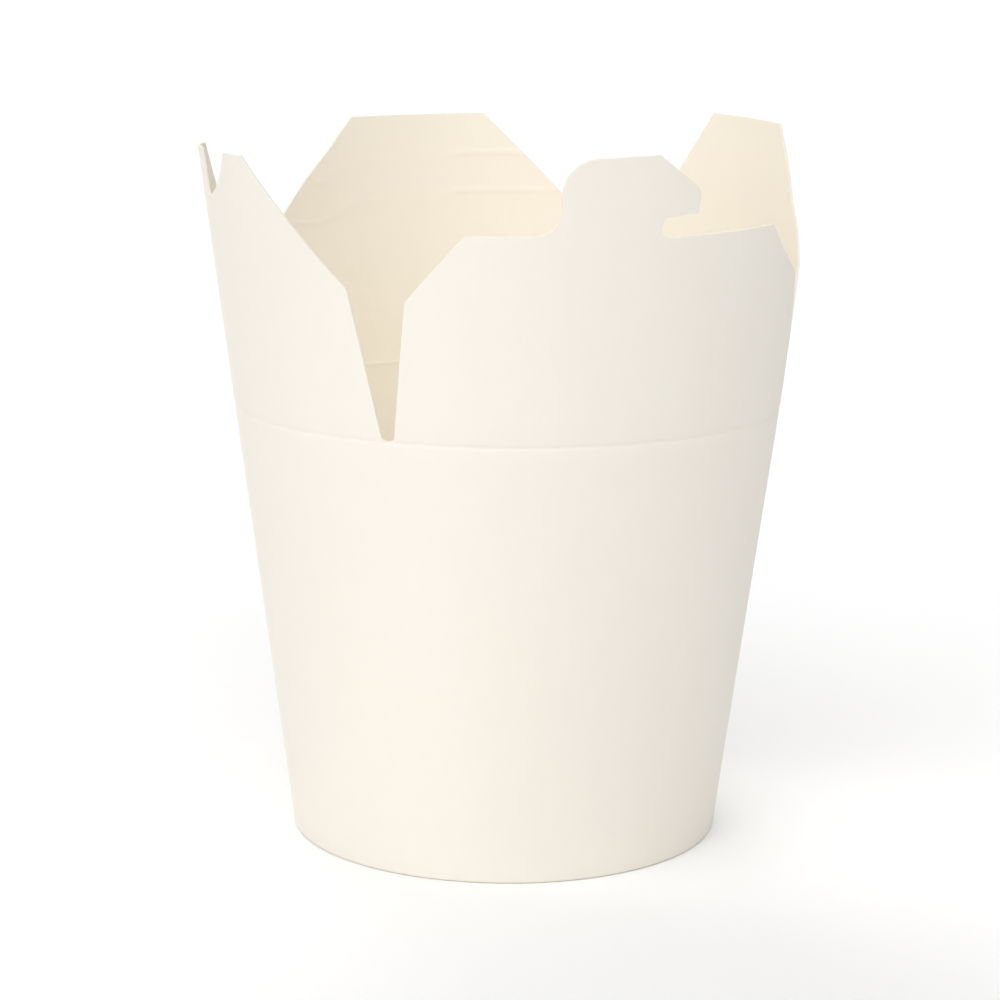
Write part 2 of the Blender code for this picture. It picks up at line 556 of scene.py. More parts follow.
class FlatBlank:
    """A flat piece of board, cut to an outline, with softly rounded cut edges.

    Attributes:
        RINGS: inset and rise of each ring of the rounding, from the cut edge in.
    """

    RINGS = ((0.0, 0.0), (0.00003, 0.00007), (0.0001, 0.0001), (0.0002, 0.0001))

    def __init__(self, outline: list[Vector]) -> None:
        """Starts as one flat face.

        Args:
            outline: the outline's points, anticlockwise as seen from the outer side.
        """
        self.bm = bmesh.new()
        self.bm.faces.new([self.bm.verts.new((p.x, p.y, 0.0)) for p in outline])
        self.round_edge()

    def round_edge(self) -> None:
        """Sinks the edge of the upper face in a few narrow rings."""
        edge_drop = self.RINGS[-1][1]
        for vert in self.bm.verts:
            vert.co.z = BOARD / 2 - edge_drop
        for (inset0, _), (inset1, rise) in zip(self.RINGS, self.RINGS[1:]):
            inner = max(self.bm.faces, key=lambda face: len(face.verts))
            bmesh.ops.inset_region(
                self.bm,
                faces=[inner],
                thickness=inset1 - inset0,
                use_even_offset=True,
                use_boundary=True,
            )
            for vert in inner.verts:
                vert.co.z = BOARD / 2 - edge_drop + rise

    def cut(self, place: float, axis: int, low: float = -math.inf, high: float = math.inf) -> None:
        """Cuts the blank along a line, so that it can bend there.

        Args:
            place: where the line crosses the axis.
            axis: 0 for an upright line, 1 for a level one.
            low: start of the stretch along the line that is cut.
            high: end of that stretch.
        """
        normal, at = Vector((0, 0, 0)), Vector((0, 0, 0))
        normal[axis], at[axis] = 1.0, place
        if low == -math.inf:
            geom = self.bm.verts[:] + self.bm.edges[:] + self.bm.faces[:]
        else:
            faces = [f for f in self.bm.faces if low < f.calc_center_median()[1 - axis] < high]
            edges = {edge for face in faces for edge in face.edges}
            geom = list({vert for edge in edges for vert in edge.verts}) + list(edges) + faces
        bmesh.ops.bisect_plane(self.bm, geom=geom, dist=WELD, plane_co=at, plane_no=normal)

    def slab(self, name: str) -> bpy.types.Object:
        """Closes the blank with its lower face and its cut edge.

        Args:
            name: name of the object.

        Returns:
            The flat slab. Its faces hold their zone, and its points their place on the blank.
        """
        bm = self.bm
        zone = bm.faces.layers.int.new("zone")
        rim = [edge for edge in bm.edges if edge.is_boundary]
        top = list(bm.verts)
        mirror = {vert: bm.verts.new((vert.co.x, vert.co.y, -vert.co.z)) for vert in top}
        outside = list(bm.faces)
        for face in outside:
            face[zone] = Zone.OUTSIDE.value
            below = bm.faces.new([mirror[vert] for vert in reversed(face.verts)])
            below[zone] = Zone.INSIDE.value
        for edge in rim:
            loop = edge.link_loops[0]
            a, b = loop.vert, loop.link_loop_next.vert
            side = bm.faces.new((mirror[a], mirror[b], b, a))
            side[zone] = Zone.CUT.value
        return slab_object(name, bm)


def rounded(corners: list[tuple[Vector, float]], step: float = math.radians(9)) -> list[Vector]:
    """Rounds the corners of a closed outline.

    Args:
        corners: each corner's place and radius, in order.
        step: largest turn between two points of an arc.

    Returns:
        The outline's points.
    """
    points: list[Vector] = []
    count = len(corners)
    for i, (here, radius) in enumerate(corners):
        before, after = corners[i - 1][0], corners[(i + 1) % count][0]
        if radius == 0.0:
            points.append(here.copy())
            continue
        u, v = (before - here).normalized(), (after - here).normalized()
        half = u.angle(v) / 2
        centre = here + (u + v).normalized() * radius / math.sin(half)
        start = here + u * radius / math.tan(half) - centre
        turn = math.copysign(math.pi - 2 * half, v.cross(u))
        steps = max(2, round(abs(turn) / step))
        for k in range(steps + 1):
            c, s = math.cos(turn * k / steps), math.sin(turn * k / steps)
            points.append(centre + Vector((c * start.x - s * start.y, s * start.x + c * start.y)))
    return points


class GeometryTree(Tree):
    """A Geometry Nodes tree with named inputs, which ends in Realize Instances and Set Material."""

    KINDS = {
        float: "NodeSocketFloat",
        bpy.types.Object: "NodeSocketObject",
        bpy.types.Material: "NodeSocketMaterial",
    }

    def __init__(self, name: str, **values: object) -> None:
        """Starts a tree with its named inputs.

        Args:
            name: name of the tree.
            values: each input's name and value: a number, an object or a material.
        """
        super().__init__(bpy.data.node_groups.new(name, "GeometryNodeTree"))
        self.values: dict[str, object] = {}
        for way in ("INPUT", "OUTPUT"):
            self.tree.interface.new_socket("Geometry", in_out=way, socket_type="NodeSocketGeometry")
        for label, value in values.items():
            kind = next(kind for made, kind in self.KINDS.items() if isinstance(value, made))
            socket = self.tree.interface.new_socket(label, in_out="INPUT", socket_type=kind)
            self.values[socket.identifier] = value
        source = self.node("NodeGroupInput")
        self.given = {label: source.outputs[label] for label in ("Geometry", *values)}

    def along_section(self, place: Socket) -> tuple[Socket, ...]:
        """Follows the curve of the section.

        Args:
            place: length along it.

        Returns:
            Radius and height there, and the radial and upright parts of the outward normal.
        """
        info = self.node(
            "GeometryNodeObjectInfo", {"Object": self.given["Section"]}, transform_space="ORIGINAL"
        )
        on_curve = {"Curves": info.outputs["Geometry"], "Length": place}
        sample = self.node("GeometryNodeSampleCurve", on_curve, mode="LENGTH")
        radius, _, height = self.split(sample.outputs["Position"])
        run, _, rise = self.split(sample.outputs["Tangent"])
        return radius, height, rise, self.math("MULTIPLY", run, -1.0)

    def end(self, place: Socket) -> None:
        """Ends the tree: points in place, real geometry, each zone of the board in its finish.

        Args:
            place: where each point goes.
        """
        wanted = {"Geometry": self.given["Geometry"], "Position": place}
        last = self.node("GeometryNodeSetPosition", wanted).outputs[0]
        last = self.node("GeometryNodeRealizeInstances", {"Geometry": last}).outputs[0]
        zone = self.node("GeometryNodeInputNamedAttribute", {"Name": "zone"}, data_type="INT")
        for kind in Zone:
            same = self.node("FunctionNodeCompare", data_type="INT", operation="EQUAL")
            for socket, value in zip(self.of_type(same.inputs, "INT"), (zone.outputs[0], kind.value)):
                self.feed(socket, value)
            finish = self.given[kind.name.title()]
            wanted = {"Geometry": last, "Selection": same.outputs[0], "Material": finish}
            last = self.node("GeometryNodeSetMaterial", wanted).outputs[0]
        self.node("NodeGroupOutput", {"Geometry": last})

    def apply(self, obj: bpy.types.Object) -> None:
        """Runs the tree on an object and keeps the result as its plain mesh.

        Args:
            obj: the object, whose mesh is replaced.
        """
        modifier = obj.modifiers.new("shape", "NODES")
        modifier.node_group = self.tree
        for identifier, value in self.values.items():
            modifier[identifier] = value
        graph = bpy.context.evaluated_depsgraph_get()
        made = bpy.data.meshes.new_from_object(obj.evaluated_get(graph))
        obj.modifiers.remove(modifier)
        old, obj.data = obj.data, made
        made.name = obj.name
        bpy.data.meshes.remove(old)
        made.shade_smooth()


@dataclass(frozen=True)
class Score:
    """The line pressed round the wall, on which the flaps fold.

    Attributes:
        depth: how far the board is pressed in.
        half_width: half the width of the groove.
        squeeze: how much thinner the board is there.
    """

    depth: float = 0.00021
    half_width: float = 0.0008
    squeeze: float = 0.00011


@dataclass(frozen=True)
class SideLap:
    """The side lap, where one end of the blank is glued over the other.

    Attributes:
        half_angle: half its width, in degrees.
        fade: angle beside it over which the board eases back to the cone, in degrees.
        top: height of its upper edge.
        radius: radius of its corners there.
        over: lift of the upper layer, in the hem and on the wall.
        under: the same of the lower layer.
        pared: share of the board's thickness pared off both layers in the hem.
        blend: places on the blank between which the hem's values go over to the wall's.
    """

    half_angle: float = 5.0
    fade: float = 5.0
    top: float = 0.0902
    radius: float = 0.001
    over: Pair = (0.00013, 0.00046)
    under: Pair = (-0.00013, -0.00006)
    pared: float = 0.54
    blend: Pair = (0.002, 0.008)


@dataclass(frozen=True)
class Ribs:
    """Fine upright ribs pressed in the hem to grip the bottom's skirt.

    Attributes:
        count: ribs round the box.
        depth: depth of the dips between them.
        start: places above the hem's edge between which they rise.
        end: places below the fold between which they end.
    """

    count: int = 180
    depth: float = 0.00012
    start: Pair = (0.0004, 0.0014)
    end: Pair = (-0.0020, -0.0012)


@dataclass(frozen=True)
class Waves:
    """The faint unevenness of board that has been rolled to a cone.

    Attributes:
        depth: largest depth.
        grain: their grain.
        stretch: how their height on the wall is squeezed, which draws them out upwards.
        start: places on the blank between which they begin.
    """

    depth: float = 0.00010
    grain: Noise = Noise(45.0)
    stretch: float = 0.3
    start: Pair = (0.003, 0.014)


@dataclass(frozen=True)
class Slit:
    """The cut between two flaps, with its round bottom.

    Attributes:
        bottom: height of its bottom.
        radius: radius of the corners there.
        half_angle: half its width there, in degrees.
    """

    bottom: float = 0.0913
    radius: float = 0.0013
    half_angle: float = 1.3


@dataclass
class Wall:
    """The wall: one blank with four flaps, its score line, its side lap and its folded hem.

    Attributes:
        cone: the cone that it lies on.
        outside: finish of the outer face.
        inside: finish of the inner face, whose colour is lighter and warmer than the outer face's:
            painted light on the inside of the box.
        cut: finish of the cut edges.
        name: name of the piece.
        columns: upright lines round the box on which the board bends.
        row_step: distance between the level lines.
        hem_rows: further level lines in the hem.
        hem_row_step: distance between these.
        reach: where the section ends, above the flaps' tips.
        fold_radius: radius of the middle of the board in the fold at the foot.
        fold_steps: steps of each quarter turn of the fold.
        hem_top: height of the hem's edge.
        score: the score line.
        score_steps: steps of each side of its groove.
        lap: the side lap.
        ribs: the ribs in the hem.
        waves: the board's unevenness.
        slit: shape of the slits.
        seam: azimuth of the middle of the side lap.
        slits: azimuth of the slit to the left of each flap but the left one, whose slit is the seam's.
        creases: the creases of the back flap.
        crease_height: how far they stand up on the inner face.
        crease_half_width: half their width.
        crease_row_step: distance between the level lines there.
        knee: height at which the flaps' sides leave the slits and slant in.
        knee_radius: radius of that corner.
        tab_left: azimuth of the closing tab's left side.
        tab_right: azimuth of its hook.
        tab_fillet: radius at the foot of its left side.
        tab_round: radius of its upper left corner.
        tab_top: its height.
        shoulder: height of the front flap's shoulders.
        sweep_radius: radius of the wide soft corners of the flaps.
        notch_radius: radius at the bottom of the left flap's notch.
    """

    cone: Cone
    outside: BoardFinish
    inside: BoardFinish
    cut: BoardFinish
    name: str = "board_wall"
    columns: int = 360
    row_step: float = 0.0040
    hem_rows: int = 4
    hem_row_step: float = 0.001288
    reach: float = 0.1500
    fold_radius: float = 0.0004
    fold_steps: int = 8
    hem_top: float = 0.0070
    score: Score = Score()
    score_steps: int = 4
    lap: SideLap = SideLap()
    ribs: Ribs = Ribs()
    waves: Waves = Waves()
    slit: Slit = Slit()
    seam: float = -135.9
    slits: dict[Flap, float] = field(
        default_factory=lambda: {Flap.FRONT: -46.0, Flap.RIGHT: 61.8, Flap.BACK: 133.9}
    )
    creases: tuple[Crease, ...] = (
        Crease(
            (
                (154.5, 0.1380),
                (168.9, 0.1379),
                (172.3, 0.1363),
                (192.6, 0.1366),
                (195.2, 0.1352),
                (198.5, 0.1322),
                (202.2, 0.1320),
            ),
            (171.0, 194.0),
        ),
        Crease(
            (
                (146.2, 0.1296),
                (169.0, 0.1294),
                (172.6, 0.1275),
                (178.3, 0.1273),
                (190.9, 0.1276),
                (195.0, 0.1263),
                (197.7, 0.1245),
                (201.6, 0.1233),
                (210.2, 0.1239),
            ),
            (171.0, 192.0),
        ),
    )
    crease_height: float = 0.00009
    crease_half_width: float = 0.0011
    crease_row_step: float = 0.00035
    knee: float = 0.1200
    knee_radius: float = 0.0010
    tab_left: float = -13.3
    tab_right: float = 12.6
    tab_fillet: float = 0.0050
    tab_round: float = 0.0065
    tab_top: float = 0.1466
    shoulder: float = 0.1320
    sweep_radius: float = 0.0120
    notch_radius: float = 0.0150

    @property
    def hem_inset(self) -> float:
        """Depth of the hem inside the wall: the skirt of the bottom fits between them."""
        return 2 * (BOARD + CONTACT)

    def flap(self, flap: Flap) -> list[Corner]:
        """Corners of one flap, from left to right as seen from outside.

        Args:
            flap: which flap.

        Returns:
            Its corners.
        """
        knee = self.knee_radius
        if flap is Flap.FRONT:
            return [
                Corner(-41.2, self.knee - 0.0011, knee),
                Corner(-29.9, self.shoulder),
                Corner(self.tab_left, self.shoulder, self.tab_fillet),
                Corner(self.tab_left, self.tab_top - 0.0003, self.tab_round),
                Corner(3.7, self.tab_top + 0.0004),
                Corner(self.tab_right, 0.1402, 0.0020),
                Corner(self.tab_right, 0.1358),
                Corner(5.1, 0.1351, 0.0019),
                Corner(5.1, 0.1312, 0.0019),
                Corner(33.8, self.shoulder),
                Corner(38.9, 0.1270, self.sweep_radius),
                Corner(50.2, self.knee, knee),
            ]
        if flap is Flap.RIGHT:
            return [
                Corner(69.0, self.knee, knee),
                Corner(81.5, 0.1312, self.sweep_radius),
                Corner(92.4, 0.1474),
                Corner(112.7, 0.1484),
                Corner(128.9, self.knee, knee),
            ]
        if flap is Flap.BACK:
            return [
                Corner(137.9, self.knee, knee),
                Corner(163.1, 0.1468),
                Corner(191.5, 0.1463),
                Corner(197.3, 0.1396, self.sweep_radius),
                Corner(218.3, self.knee, knee),
            ]
        return [
            Corner(-128.2, self.knee, knee),
            Corner(-116.6, 0.1440),
            Corner(-97.2, 0.1447),
            Corner(-96.6, 0.1350, 0.0010),
            Corner(-88.8, 0.1367, self.notch_radius),
            Corner(-83.7, 0.1446),
            Corner(-76.9, 0.1447),
            Corner(-52.7, self.knee + 0.0005, knee),
        ]

    def slit_corners(self, azimuth: float) -> list[Corner]:
        """The two corners at the round bottom of a slit.

        Args:
            azimuth: where the middle of the slit is.

        Returns:
            The corners, from left to right.
        """
        slit = self.slit
        sides = (azimuth - slit.half_angle, azimuth + slit.half_angle)
        return [Corner(side, slit.bottom, slit.radius) for side in sides]

    def section(self) -> Section:
        """The board's section from the hem's edge, round the fold, up the wall to the flaps' tips.

        Returns:
            The section, whose place 0 is where the wall leaves the fold.
        """
        fold, steps, score = self.fold_radius, self.fold_steps, self.score
        middle = BOARD / 2 + fold
        turns = [math.pi / 2 * (1 - i / steps) for i in range(steps + 1)]
        inner = self.hem_inset - fold
        insets = [(self.hem_inset, self.hem_top)]
        insets += [(inner + fold * math.sin(a), middle - fold * math.cos(a)) for a in turns]
        insets += [(fold * (1 - math.cos(a)), middle - fold * math.sin(a)) for a in turns]
        hem_points = len(insets)
        for i in range(-self.score_steps, self.score_steps + 1):
            share = i / self.score_steps
            depth = score.depth * (0.5 + 0.5 * math.cos(math.pi * share))
            insets.append((depth, self.cone.score_height + score.half_width * share))
        insets.append((0.0, self.reach))
        points = [(self.cone.radius(height) - inset, height) for inset, height in insets]
        hem = points[:hem_points]
        return Section(tuple(points), -sum(math.dist(a, b) for a, b in zip(hem, hem[1:])))

    def wall_place(self, height: float) -> float:
        """Place on the flat blank of a height on the wall."""
        return (height - BOARD / 2 - self.fold_radius) * self.cone.slant

    def outline(self, bottom: float) -> list[Vector]:
        """The die-cut outline, anticlockwise as seen from outside.

        Args:
            bottom: place of the hem's edge.

        Returns:
            The outline's points on the flat blank.
        """
        lap, seam, end, low = self.lap, self.seam, self.seam + 360.0, self.slit.bottom
        first, last = seam - lap.half_angle, end + lap.half_angle
        top = [Corner(seam, low, 0.0), self.slit_corners(seam)[1], *self.flap(Flap.LEFT)]
        for flap in (Flap.FRONT, Flap.RIGHT, Flap.BACK):
            top += self.slit_corners(self.slits[flap]) + self.flap(flap)
        top += [self.slit_corners(end)[0], Corner(end, low, 0.0)]
        left = [Corner(first, lap.top, lap.radius), Corner(seam, lap.top, 0.0)]
        right = [Corner(end, lap.top, 0.0), Corner(last, lap.top, lap.radius)]
        upper = [
            (Vector((self.cone.flat_x(c.azimuth), self.wall_place(c.height))), c.radius)
            for c in left + top + right
        ]
        lower = [(Vector((self.cone.flat_x(azimuth), bottom)), 0.0) for azimuth in (first, last)]
        return rounded(lower + upper[::-1])

    def blank(self, section: Section) -> bpy.types.Object:
        """Cuts the flat blank and gives it its thickness.

        Args:
            section: the board's section, which says where rows are needed.

        Returns:
            The flat slab.
        """
        places = section.places()
        blank = FlatBlank(self.outline(section.start))
        for place in places[1:-1]:
            blank.cut(place, 1)
        score = self.wall_place(self.cone.score_height)
        for i in range(1, round(self.reach / self.row_step)):
            place = i * self.row_step
            if abs(place - score) > self.score.half_width * 2:
                blank.cut(place, 1)
        for i in range(1, self.hem_rows + 1):
            blank.cut(section.start + i * self.hem_row_step, 1)
        lap = self.lap.half_angle
        step = 360.0 / self.columns
        for i in range(int((360.0 + 2 * lap) / step)):
            blank.cut(self.cone.flat_x(self.seam - lap + (i + 0.5) * step), 0)
        for crease in self.creases:
            azimuths, heights = zip(*crease.path)
            low, high = self.cone.flat_x(min(azimuths)), self.cone.flat_x(max(azimuths))
            start = self.wall_place(min(heights)) - 2 * self.crease_half_width
            end = self.wall_place(max(heights)) + 2 * self.crease_half_width
            for i in range(1, int((end - start) / self.crease_row_step)):
                blank.cut(start + i * self.crease_row_step, 1, low, high)
        return blank.slab(self.name)

    def crease_curve(self, crease: Crease, name: str) -> bpy.types.Object:
        """Draws a crease as a curve on the flat blank, which the caller removes."""
        places = [(self.cone.flat_x(a), self.wall_place(height), 0.0) for a, height in crease.path]
        return poly_curve(name, places)

    def build(self) -> bpy.types.Object:
        """Makes the wall and dresses it.

        Returns:
            The finished piece.
        """
        section = self.section()
        wall = self.blank(section)
        curve = section.curve("wall_section")
        creases = [self.crease_curve(crease, f"Crease{i}") for i, crease in enumerate(self.creases)]
        WrapTree(self, section, curve, creases).apply(wall)
        for guide in (curve, *creases):
            bpy.data.objects.remove(guide, do_unlink=True)
        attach(wall, "root")
        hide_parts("wall")
        return wall


class WrapTree(GeometryTree):
    """The tree that wraps the wall's flat slab round the cone and presses its fine forms."""

    def __init__(
        self, wall: Wall, section: Section, curve: bpy.types.Object, lines: list[bpy.types.Object]
    ) -> None:
        """Builds the tree, ready to apply.

        Args:
            wall: the wall, whose sizes it takes.
            section: the board's section.
            curve: the curve of that section.
            lines: the curves of the creases.
        """
        super().__init__(
            "wrap_board",
            Section=curve,
            **{line.name: line for line in lines},
            CreaseHeight=wall.crease_height,
            CreaseHalfWidth=wall.crease_half_width,
            ScorePlace=wall.wall_place(wall.cone.score_height),
            ScoreHalfWidth=wall.score.half_width,
            ScoreSqueeze=wall.score.squeeze,
            HemEdge=section.start,
            FlatRadius=wall.cone.flat_radius,
            Seam=math.radians(wall.seam),
            LapHalfAngle=math.radians(wall.lap.half_angle),
            LapFade=math.radians(wall.lap.fade),
            LapPared=wall.lap.pared,
            RibCount=float(wall.ribs.count),
            RibDepth=wall.ribs.depth,
            WaveDepth=wall.waves.depth,
            WaveScale=wall.waves.grain.scale,
            Seed=float(SEED),
            Outside=wall.outside.material(),
            Inside=wall.inside.material(),
            Cut=wall.cut.material(),
        )
        self.wall = wall
        x, self.along, through = self.split(self.node("GeometryNodeInputPosition").outputs[0])
        self.azimuth = self.math("DIVIDE", x, self.given["FlatRadius"])
        self.flat = self.combine(x, self.along, 0.0)
        self.outer_face = self.math("GREATER_THAN", through, 0.0)

        place = self.math("SUBTRACT", self.along, self.given["HemEdge"])
        radius, height, out, up = self.along_section(place)
        sine, cosine = self.math("SINE", self.azimuth), self.math("COSINE", self.azimuth)
        outward = self.combine(sine, self.math("MULTIPLY", cosine, -1.0), 0.0)
        lift, thickness = self.lap_shift()
        level = self.scaled(outward, radius)
        shifts = [lift, self.rib_shift(), self.score_shift(), self.wave_shift(level, height)]
        shifts += [self.crease_shift(crease, line) for crease, line in zip(wall.creases, lines)]
        offset = self.math("MULTIPLY", through, thickness)
        for shift in shifts:
            offset = self.math("ADD", offset, shift)
        far = self.math("MULTIPLY_ADD", out, offset, radius)
        lifted = self.combine(0.0, 0.0, self.math("MULTIPLY_ADD", up, offset, height))
        self.end(self.vector("ADD", self.scaled(outward, far), lifted))

    def lap_shift(self) -> tuple[Socket, Socket]:
        """How the side lap moves and thins the board.

        Returns:
            The outward shift, and the share of the thickness that stays.
        """
        given, lap = self.given, self.wall.lap
        from_start = self.math("SUBTRACT", self.azimuth, given["Seam"])
        to_end = self.math("SUBTRACT", self.math("ADD", given["Seam"], math.tau), self.azimuth)
        fade = self.math("ADD", given["LapHalfAngle"], given["LapFade"])
        under = self.ramp(from_start, fade, given["LapHalfAngle"])
        over = self.ramp(to_end, fade, given["LapHalfAngle"])
        in_hem = self.ramp(self.along, lap.blend[1], lap.blend[0])
        lapped = self.math("MULTIPLY", in_hem, self.math("MAXIMUM", under, over))
        pared = self.math("MULTIPLY", lapped, given["LapPared"])
        shifts = [
            self.math("MULTIPLY", layer, self.ramp(self.along, *lap.blend, *lift))
            for layer, lift in ((over, lap.over), (under, lap.under))
        ]
        return self.math("ADD", *shifts), self.math("SUBTRACT", 1.0, pared)

    def rib_shift(self) -> Socket:
        """How the dips between the ribs sink the hem's face.

        Returns:
            The shift, which is 0 or less.
        """
        given, ribs = self.given, self.wall.ribs
        edge = self.math("SUBTRACT", given["Seam"], given["LapHalfAngle"])
        turn = self.math("MULTIPLY", self.math("SUBTRACT", self.azimuth, edge), given["RibCount"])
        dip = self.math("MULTIPLY", self.math("SUBTRACT", self.math("SINE", turn), 1.0), 0.5)
        low, full = (self.math("ADD", given["HemEdge"], place) for place in ribs.start)
        rise = self.ramp(self.along, low, full)
        end = self.ramp(self.along, ribs.end[1], ribs.end[0])
        shown = self.math("MULTIPLY", self.math("MULTIPLY", rise, end), self.outer_face)
        return self.math("MULTIPLY", self.math("MULTIPLY", dip, shown), given["RibDepth"])

    def score_shift(self) -> Socket:
        """How the press of the score line flattens the inner face.

        Returns:
            The outward shift.
        """
        given = self.given
        away = self.math("ABSOLUTE", self.math("SUBTRACT", self.along, given["ScorePlace"]))
        squeeze = self.ramp(away, given["ScoreHalfWidth"], 0.0, 0.0, given["ScoreSqueeze"])
        return self.math("MULTIPLY", squeeze, self.math("SUBTRACT", 1.0, self.outer_face))

    def wave_shift(self, level: Socket, height: Socket) -> Socket:
        """How faint waves dent the board.

        Args:
            level: a point's place on the cone, without its height.
            height: its height.

        Returns:
            The shift, which is 0 or less.
        """
        given, waves = self.given, self.wall.waves
        squeezed = self.combine(0.0, 0.0, self.math("MULTIPLY", height, waves.stretch))
        place = self.vector("ADD", level, squeezed)
        noise = self.noise(place, waves.grain, W=given["Seed"], Scale=given["WaveScale"])
        rise = self.ramp(self.along, *waves.start, 0.0, -1.0)
        return self.math("MULTIPLY", self.math("MULTIPLY", rise, noise), given["WaveDepth"])

    def crease_shift(self, crease: Crease, line: bpy.types.Object) -> Socket:
        """How a crease pushes the board inwards.

        Args:
            crease: the crease.
            line: its curve.

        Returns:
            The shift, which is 0 or less.
        """
        given = self.given
        info = self.node(
            "GeometryNodeObjectInfo", {"Object": given[line.name]}, transform_space="ORIGINAL"
        )
        path = self.node("GeometryNodeCurveToMesh", {"Curve": info.outputs["Geometry"]}).outputs[0]
        wanted = {"Geometry": path, "Sample Position": self.flat}
        near = self.node("GeometryNodeProximity", wanted, target_element="EDGES")
        shape = self.ramp(near.outputs["Distance"], given["CreaseHalfWidth"], 0.0)
        first, last, fade = (math.radians(angle) for angle in (*crease.faint, crease.fade))
        before = self.ramp(self.azimuth, first - fade, first + fade, 1.0, crease.faint_share)
        after = self.ramp(self.azimuth, last - fade, last + fade, crease.faint_share, 1.0)
        pressed = self.math("MULTIPLY", shape, self.math("MAXIMUM", before, after))
        return self.math("MULTIPLY", self.math("MULTIPLY", pressed, given["CreaseHeight"]), -1.0)


@dataclass
class Bottom:
    """The round bottom, recessed in the wall, with its skirt down between wall and hem.

    Attributes:
        cone: the cone that the wall lies on.
        face: finish of both faces, lighter and warmer than the wall's outer face: painted light for the
            bottom inside the box.
        cut: finish of the cut edge.
        name: name of the piece.
        height: height of the middle of the board.
        bend: radius at which the skirt bends down.
        skirt_foot: height of the skirt's edge.
        crown: how far the middle is raised.
        crown_reach: where the rise begins, as a share of the foot's radius.
        spokes: points round each ring.
        face_rings: steps from the centre to the cut edge. Those on the flat part become rings.
        bend_rings: steps of the bend.
        skirt_rings: steps of the skirt.
        bend_gap: least distance between the last ring of the flat part and the bend.
        edge_gap: distance between the last ring of the skirt and the cut edge.
    """

    cone: Cone
    face: BoardFinish
    cut: BoardFinish
    name: str = "board_bottom"
    height: float = 0.0081
    bend: float = 0.0010
    skirt_foot: float = BOARD + 2 * CONTACT
    crown: float = 0.00012
    crown_reach: float = 0.9
    spokes: int = 180
    face_rings: int = 12
    bend_rings: int = 8
    skirt_rings: int = 4
    bend_gap: float = 0.001
    edge_gap: float = 0.0003

    def skirt_radius(self, height: float) -> float:
        """Radius of the middle of the skirt at a height."""
        return self.cone.radius(height) - BOARD - CONTACT

    def section(self) -> Section:
        """The board's section from the axis out, over the bend and down the skirt.

        Returns:
            The section, which starts at the axis.
        """
        reach = self.skirt_radius(self.height - self.bend)
        points = [(0.0, self.height)]
        for i in range(self.bend_rings + 1):
            a = math.pi / 2 * i / self.bend_rings
            radius = reach - self.bend * (1 - math.sin(a))
            points.append((radius, self.height - self.bend * (1 - math.cos(a))))
        points.append((self.skirt_radius(self.skirt_foot), self.skirt_foot))
        return Section(tuple(points))

    def blank(self, section: Section) -> bpy.types.Object:
        """A flat round slab with rings where the section bends.

        Args:
            section: the board's section.

        Returns:
            The flat slab.
        """
        places = section.places()
        bend_start, bend_end, edge = places[1], places[-2], places[-1]
        half, drop = BOARD / 2, FlatBlank.RINGS[-1][1]
        face = [edge * i / self.face_rings for i in range(1, self.face_rings)]
        radii = [r for r in face if r < bend_start - self.bend_gap] + places[1:-1]
        skirt = edge - self.edge_gap - bend_end
        radii += [bend_end + skirt * i / self.skirt_rings for i in range(1, self.skirt_rings + 1)]
        rings = [(r, half) for r in radii]
        rings += [(edge - inset, half - drop + rise) for inset, rise in FlatBlank.RINGS[-2::-1]]
        bm = bmesh.new()
        zone = bm.faces.layers.int.new("zone")
        rims = []
        for side, kind in ((1, Zone.INSIDE), (-1, Zone.OUTSIDE)):
            loops = [
                [
                    bm.verts.new((r * math.sin(a), -r * math.cos(a), side * z))
                    for a in (math.tau * k / self.spokes for k in range(self.spokes))
                ]
                for r, z in rings
            ]
            centre = bm.verts.new((0.0, 0.0, side * half))
            for a, b in self.pairs(loops[0]):
                bm.faces.new((centre, a, b))[zone] = kind.value
            for inner, outer in zip(loops, loops[1:]):
                self.band(bm, inner, outer, zone, kind)
            rims.append(loops[-1])
        self.band(bm, *rims, zone, Zone.CUT)
        bmesh.ops.recalc_face_normals(bm, faces=bm.faces[:])
        return slab_object(self.name, bm)

    @staticmethod
    def pairs(ring: Ring) -> list[tuple[bmesh.types.BMVert, bmesh.types.BMVert]]:
        """Neighbouring points of a closed ring."""
        return list(zip(ring, ring[1:] + ring[:1]))

    def band(
        self, bm: bmesh.types.BMesh, inner: Ring, outer: Ring, zone: bmesh.types.BMLayerItem, kind: Zone
    ) -> None:
        """Joins two rings with a band of faces.

        Args:
            bm: the mesh.
            inner: one ring.
            outer: the other ring.
            zone: the layer that holds each face's zone.
            kind: the zone of these faces.
        """
        for (a, b), (c, d) in zip(self.pairs(inner), self.pairs(outer)):
            bm.faces.new((a, b, d, c))[zone] = kind.value

    def press_tree(self, curve: bpy.types.Object) -> GeometryTree:
        """The tree that presses the flat disc to its section.

        Args:
            curve: the curve of the section.

        Returns:
            The tree, ready to apply.
        """
        tree = GeometryTree(
            "press_bottom",
            Section=curve,
            Crown=self.crown,
            CrownRadius=self.cone.foot_radius,
            Inside=self.face.material(),
            Outside=self.face.material(),
            Cut=self.cut.material(),
        )
        x, y, through = tree.split(tree.node("GeometryNodeInputPosition").outputs[0])
        flat = tree.combine(x, y, 0.0)
        place = tree.node("ShaderNodeVectorMath", {"Vector": flat}, operation="LENGTH").outputs["Value"]
        radius, height, rise, fall = tree.along_section(place)
        out, up = (tree.math("MULTIPLY", part, -1.0) for part in (rise, fall))
        far = tree.math("MULTIPLY_ADD", out, through, radius)
        share = tree.math("DIVIDE", place, tree.given["CrownRadius"])
        crown = tree.math("MULTIPLY", tree.ramp(share, self.crown_reach, 0.0), tree.given["Crown"])
        high = tree.math("ADD", tree.math("MULTIPLY_ADD", up, through, height), crown)
        level = tree.scaled(tree.vector("NORMALIZE", flat), far)
        tree.end(tree.vector("ADD", level, tree.combine(0.0, 0.0, high)))
        return tree

